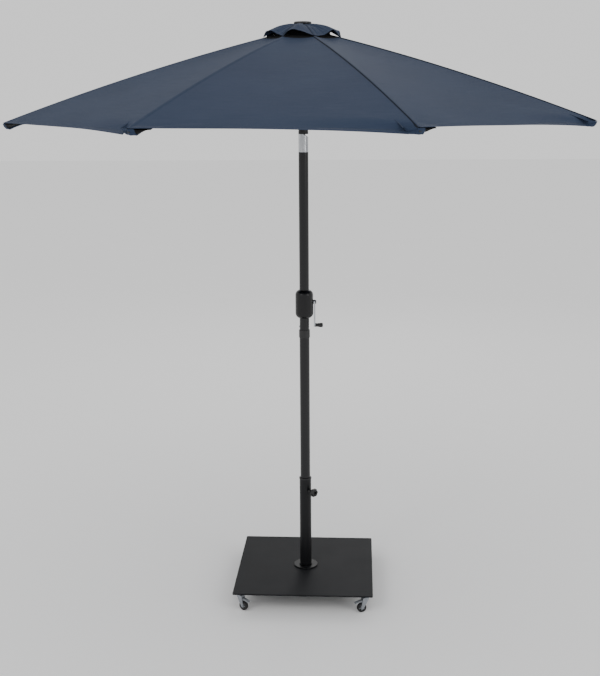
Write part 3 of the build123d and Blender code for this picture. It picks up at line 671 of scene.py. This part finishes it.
class UMBRELLA_OT_pockets(bpy.types.Operator):
    """Sew the pocket under each corner that holds the end of a rib"""

    bl_idname = "umbrella.pockets"
    bl_label = "Sew the corner pockets"

    def execute(self, context):
        cloth = context.scene.umbrella_cloth
        for number in range(1, RIBS + 1):
            backs = [(k / 22) ** 1.3 for k in range(23)]
            places = spread_over(POCKET_SPAN[0], 0.014, 16) + spread_over(0.016, 0.022, 5)
            places += spread_over(0.026, POCKET_SPAN[1], 9)
            places.reverse()
            rows = [[pocket_point(number, back, across) for across in places] for back in backs]
            # Past 18 mm across on one side, the pocket takes the near-black binding colour: painted shade in the
            # pocket's mouth.
            marks = [[(0.05 + across, PAINTED_SHADE_HEIGHT if across > 0.018 else 0.03) for across in places]] * 23
            piece = cloth_mesh(f"corner_pocket_{number}", rows, marks, cloth.thickness)
            give(piece, "canopy_polyester", "vent_polyester")
            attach(piece, f"rib_{number}")
        return {"FINISHED"}


# ---------------------------------------------------------------- turned pieces
def select_where(piece, test, faces=False):
    """In edit mode, select only the vertices or faces whose place passes the test."""
    bpy.ops.mesh.select_mode(type="FACE" if faces else "VERT")
    bpy.ops.mesh.select_all(action="DESELECT")
    shape = bmesh.from_edit_mesh(piece.data)
    for part in shape.faces if faces else shape.verts:
        place = part.calc_center_median() if faces else part.co
        part.select_set(bool(test(part, place)))
    shape.select_flush_mode()
    bmesh.update_edit_mesh(piece.data)


def turn_shape(name, steps, sides=64):
    """Turn a solid of (height, radius) steps: a disc, extruded upwards and resized at each step."""
    bpy.ops.object.select_all(action="DESELECT")
    bpy.ops.mesh.primitive_circle_add(
        vertices=sides, radius=steps[0][1], fill_type="NGON", location=(0, 0, steps[0][0])
    )
    piece = bpy.context.active_object
    piece.name = name
    bpy.ops.object.transform_apply(location=True, rotation=True, scale=True)
    bpy.ops.object.mode_set(mode="EDIT")
    bpy.ops.mesh.select_all(action="SELECT")
    for (low, inner), (high, outer) in zip(steps, steps[1:]):
        bpy.ops.mesh.extrude_region_move(TRANSFORM_OT_translate={"value": (0, 0, high - low)})
        bpy.ops.transform.resize(value=(outer / inner, outer / inner, 1), center_override=(0, 0, high))
    bpy.ops.mesh.select_all(action="SELECT")
    bpy.ops.mesh.normals_make_consistent(inside=False)
    bpy.ops.object.mode_set(mode="OBJECT")
    return piece


def set_in_place(piece, centre, axis, roll=0.0):
    """Stand a piece made on the Z axis along another axis at its place, and apply that."""
    turn = Vector(axis).to_track_quat("Z", "Y").to_matrix().to_4x4()
    piece.matrix_world = Matrix.Translation(centre) @ turn @ Matrix.Rotation(roll, 4, "Z")
    only(piece)
    bpy.ops.object.transform_apply(location=True, rotation=True, scale=True)


def rounded(piece, width, segments=3, angle=30):
    """Round every edge sharper than the angle, and apply it."""
    edge = piece.modifiers.new("round", "BEVEL")
    edge.width = width
    edge.segments = segments
    edge.limit_method = "ANGLE"
    edge.angle_limit = radians(angle)
    apply_modifiers(piece)


class UMBRELLA_OT_clamp_knob(bpy.types.Operator):
    """Shape the lobed knob that clamps the pole in the base"""

    bl_idname = "umbrella.clamp_knob"
    bl_label = "Shape the clamp knob"

    def execute(self, context):
        joint = joints["clamp_knob_turn"]
        axis = Vector(joint["axis"])
        steps = [
            (0.0, 0.0105), (0.0015, 0.0118), (0.005, 0.0125),
            (0.007, 0.0188), (0.0185, 0.0188), (0.021, 0.0165),
        ]
        piece = turn_shape("clamp_knob_lobed", steps, 36)
        bpy.ops.object.mode_set(mode="EDIT")
        # Six scallops for the fingers, pressed into the rim between the lobes.
        for sixth in range(1, 6):
            depth = 1 - 0.15 * sin(pi * sixth / 6) ** 2

            def on_spoke(vertex, place):
                spoke = round((atan2(place.y, place.x) % (2 * pi)) / (2 * pi) * 36)
                return place.z > 0.006 and place.xy.length > 0.014 and spoke % 6 == sixth

            select_where(piece, on_spoke)
            bpy.ops.transform.resize(value=(depth, depth, 1), center_override=(0, 0, 0))
        # A shallow dish in the face, with a raised cap in its middle.
        select_where(piece, lambda face, place: place.z > 0.0209 and face.normal.z > 0.9, faces=True)
        bpy.ops.mesh.inset(thickness=0.0035, depth=0)
        bpy.ops.mesh.inset(thickness=0.0006, depth=-0.0012)
        bpy.ops.mesh.inset(thickness=0.0045, depth=0)
        bpy.ops.mesh.inset(thickness=0.0005, depth=0.0008)
        bpy.ops.object.mode_set(mode="OBJECT")
        rounded(piece, 0.0007, 3, 32)
        set_in_place(piece, Vector((0, 0, joint["pos_m"][2])) + 0.0405 * axis, axis)
        give(piece, "black_nylon")
        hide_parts("clamp_knob")
        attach(piece, "clamp_knob")
        return {"FINISHED"}


class UMBRELLA_OT_crank_handle(bpy.types.Operator):
    """Turn the grip of the crank, with shallow rings for the fingers"""

    bl_idname = "umbrella.crank_handle"
    bl_label = "Turn the crank handle"

    def execute(self, context):
        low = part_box("crank_handle")[0]
        joint = joints["crank_handle_spin"]
        profile = [(0.0, 0.0078), (0.0008, 0.0086), (0.0028, 0.0088), (0.0042, 0.0078), (0.0068, 0.0072)]
        for ring in range(5):
            base = 0.0085 + ring * 0.0034
            belly = 0.0076 + 0.00035 * ring
            profile += [(base, belly), (base + 0.0009, belly + 0.0006), (base + 0.0021, belly + 0.0006)]
            profile += [(base + 0.0028, belly)]
        profile += [(0.0268, 0.0095), (0.0295, 0.0094), (0.0315, 0.0078), (0.0324, 0.0052)]
        piece = turn_shape("crank_handle_grip", profile, 56)
        rounded(piece, 0.0004, 2, 25)
        set_in_place(piece, Vector((low.x, joint["pos_m"][1], joint["pos_m"][2])), (1, 0, 0))
        give(piece, "handle_plastic")
        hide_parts("crank_handle")
        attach(piece, "crank_handle")
        return {"FINISHED"}


class UMBRELLA_OT_wheels(bpy.types.Operator):
    """Shape the caster wheels: a moulded hub with five webs inside a grooved rubber tyre"""

    bl_idname = "umbrella.wheels"
    bl_label = "Shape the caster wheels"

    def execute(self, context):
        tyre_profile = [
            (-0.0078, 0.0134), (-0.0080, 0.0172), (-0.0068, 0.0197), (-0.0040, 0.02045),
            (-0.0012, 0.0205), (-0.0008, 0.0197), (0.0008, 0.0197), (0.0012, 0.0205),
            (0.0040, 0.02045), (0.0068, 0.0197), (0.0080, 0.0172), (0.0078, 0.0134),
        ]
        tyre = turn_shape("tyre", tyre_profile, 72)
        bpy.ops.object.mode_set(mode="EDIT")
        select_where(
            tyre, lambda face, place: abs(face.normal.z) > 0.9 and place.xy.length < 0.001, faces=True
        )
        bpy.ops.mesh.inset(thickness=0.0004, depth=-0.0024)
        bpy.ops.object.mode_set(mode="OBJECT")
        rounded(tyre, 0.0003, 2, 35)
        hub_profile = [
            (-0.0079, 0.0056), (-0.0075, 0.0062), (-0.0062, 0.0064), (-0.0056, 0.0122),
            (0.0056, 0.0122), (0.0062, 0.0064), (0.0075, 0.0062), (0.0079, 0.0056),
        ]
        hub = turn_shape("hub", hub_profile, 40)
        bpy.ops.object.mode_set(mode="EDIT")
        # Every other pair of the hub's side faces is drawn down to leave webs between.
        select_where(
            hub,
            lambda face, place: 0.0056 < abs(place.z) < 0.0062
            and int((atan2(place.y, place.x) + pi) / (2 * pi) * 40) % 8 > 1,
            faces=True,
        )
        bpy.ops.mesh.inset(thickness=0.0005, depth=-0.0012)
        bpy.ops.object.mode_set(mode="OBJECT")
        rounded(hub, 0.00025, 2, 30)
        for corner in ("front_left", "front_right", "rear_left", "rear_right"):
            joint = joints[f"wheel_roll_{corner}"]
            for source, part, slot_name in (
                (tyre, "tyre", "wheel_rubber"),
                (hub, "hub", "brake_plastic"),
            ):
                piece = bpy.data.objects.new(f"wheel_{part}_{corner}", source.data.copy())
                bpy.context.scene.collection.objects.link(piece)
                set_in_place(piece, Vector(joint["pos_m"]), joint["axis"], 0.3)
                give(piece, slot_name)
                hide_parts(f"wheel_{corner}")
                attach(piece, f"wheel_{corner}")
        for source in (tyre, hub):
            bpy.data.objects.remove(source)
        return {"FINISHED"}


# ---------------------------------------------------------------- stage
class UMBRELLA_OT_stage(bpy.types.Operator):
    """Set the floor, the soft light and the camera"""

    bl_idname = "umbrella.stage"
    bl_label = "Set the stage"

    def execute(self, context):
        stage = context.scene.umbrella_stage
        bpy.ops.object.select_all(action="DESELECT")
        bpy.ops.mesh.primitive_plane_add(size=1, location=(0, 0, 0))
        floor = bpy.context.active_object
        floor.name = "floor"
        floor.scale = (60, 60, 1)
        bpy.ops.object.transform_apply(location=True, rotation=True, scale=True)
        # Matt painted floor: pale, with the faintest unevenness.
        paint = mottled(
            "matt_floor_paint", stage.floor, shaded(stage.floor, 0.985), 0.9, (0.85, 0.95), 0.02, 0.0002,
            specular_ior_level=0.1,
        )
        floor.data.materials.append(paint)
        world = bpy.data.worlds.new("pale_surround")
        world.use_nodes = True
        backdrop = world.node_tree.nodes["Background"]
        backdrop.inputs["Color"].default_value = (1, 1, 1, 1)
        backdrop.inputs["Strength"].default_value = stage.sky
        context.scene.world = world
        # Tall lights: one over the left shoulder, a weaker one from the right and one from behind.
        width_share = 0.4
        for name, power, size, place, aim in (
            ("key_light", 58, 3.2, (-3.4, -4.6, 4.6), (0, 0, 1.3)),
            ("fill_light", 42, 2.8, (4.4, -3.4, 3.0), (0, 0, 1.2)),
            ("back_light", 30, 3.0, (0.5, 4.8, 4.2), (0, 0, 1.6)),
        ):
            bpy.ops.object.light_add(type="AREA", location=place)
            light = bpy.context.active_object
            light.name = name
            light.data.energy = power
            light.data.shape = "RECTANGLE"
            light.data.size = size * width_share
            light.data.size_y = size
            light.rotation_euler = (Vector(aim) - Vector(place)).to_track_quat("-Z", "Y").to_euler()
        bpy.ops.object.camera_add(location=(0.2343, -4.3897, 2.1726))
        camera = bpy.context.active_object
        camera.name = "camera"
        heading, dip, roll = radians(3.309), radians(13.239), radians(-0.404)
        turn = Euler((pi / 2 - dip, 0, heading)).to_matrix() @ Matrix.Rotation(roll, 3, "Z")
        camera.rotation_euler = turn.to_euler()
        camera.data.sensor_width = 36
        camera.data.lens = stage.lens
        camera.data.dof.use_dof = False
        camera.data.clip_start = 0.05
        context.scene.camera = camera
        return {"FINISHED"}


class UMBRELLA_PT_panel(bpy.types.Panel):
    """Lists the pieces in the order they are made"""

    bl_idname = "UMBRELLA_PT_panel"
    bl_label = "Patio umbrella"
    bl_space_type = "VIEW_3D"
    bl_region_type = "UI"
    bl_category = "Umbrella"

    def draw(self, context):
        for name in ("umbrella_cloth", "umbrella_frame", "umbrella_base", "umbrella_stage"):
            box = self.layout.box()
            for key in getattr(context.scene, name).__annotations__:
                box.prop(getattr(context.scene, name), key)
        for operator in operators:
            self.layout.operator(operator.bl_idname)


groups = {
    "umbrella_cloth": UmbrellaCloth,
    "umbrella_frame": UmbrellaFrame,
    "umbrella_base": UmbrellaBase,
    "umbrella_stage": UmbrellaStage,
}
operators = [
    UMBRELLA_OT_finishes,
    UMBRELLA_OT_stage,
    UMBRELLA_OT_canopy,
    UMBRELLA_OT_vent_cap,
    UMBRELLA_OT_vent_shade_net,
    UMBRELLA_OT_pockets,
    UMBRELLA_OT_clamp_knob,
    UMBRELLA_OT_crank_handle,
    UMBRELLA_OT_wheels,
]


def register():
    """Add the settings, the operators and the panel."""
    for name, group in groups.items():
        bpy.utils.register_class(group)
        setattr(bpy.types.Scene, name, bpy.props.PointerProperty(type=group))
    for made in [*operators, UMBRELLA_PT_panel]:
        bpy.utils.register_class(made)


def unregister():
    """Take the panel, the operators and the settings away again."""
    for made in [UMBRELLA_PT_panel, *reversed(operators)]:
        bpy.utils.unregister_class(made)
    for name, group in groups.items():
        delattr(bpy.types.Scene, name)
        bpy.utils.unregister_class(group)


def main():
    """Make every piece in order."""
    register()
    for operator in operators:
        group, name = operator.bl_idname.split(".")
        getattr(getattr(bpy.ops, group), name)()


if __name__ == "__main__":
    main()
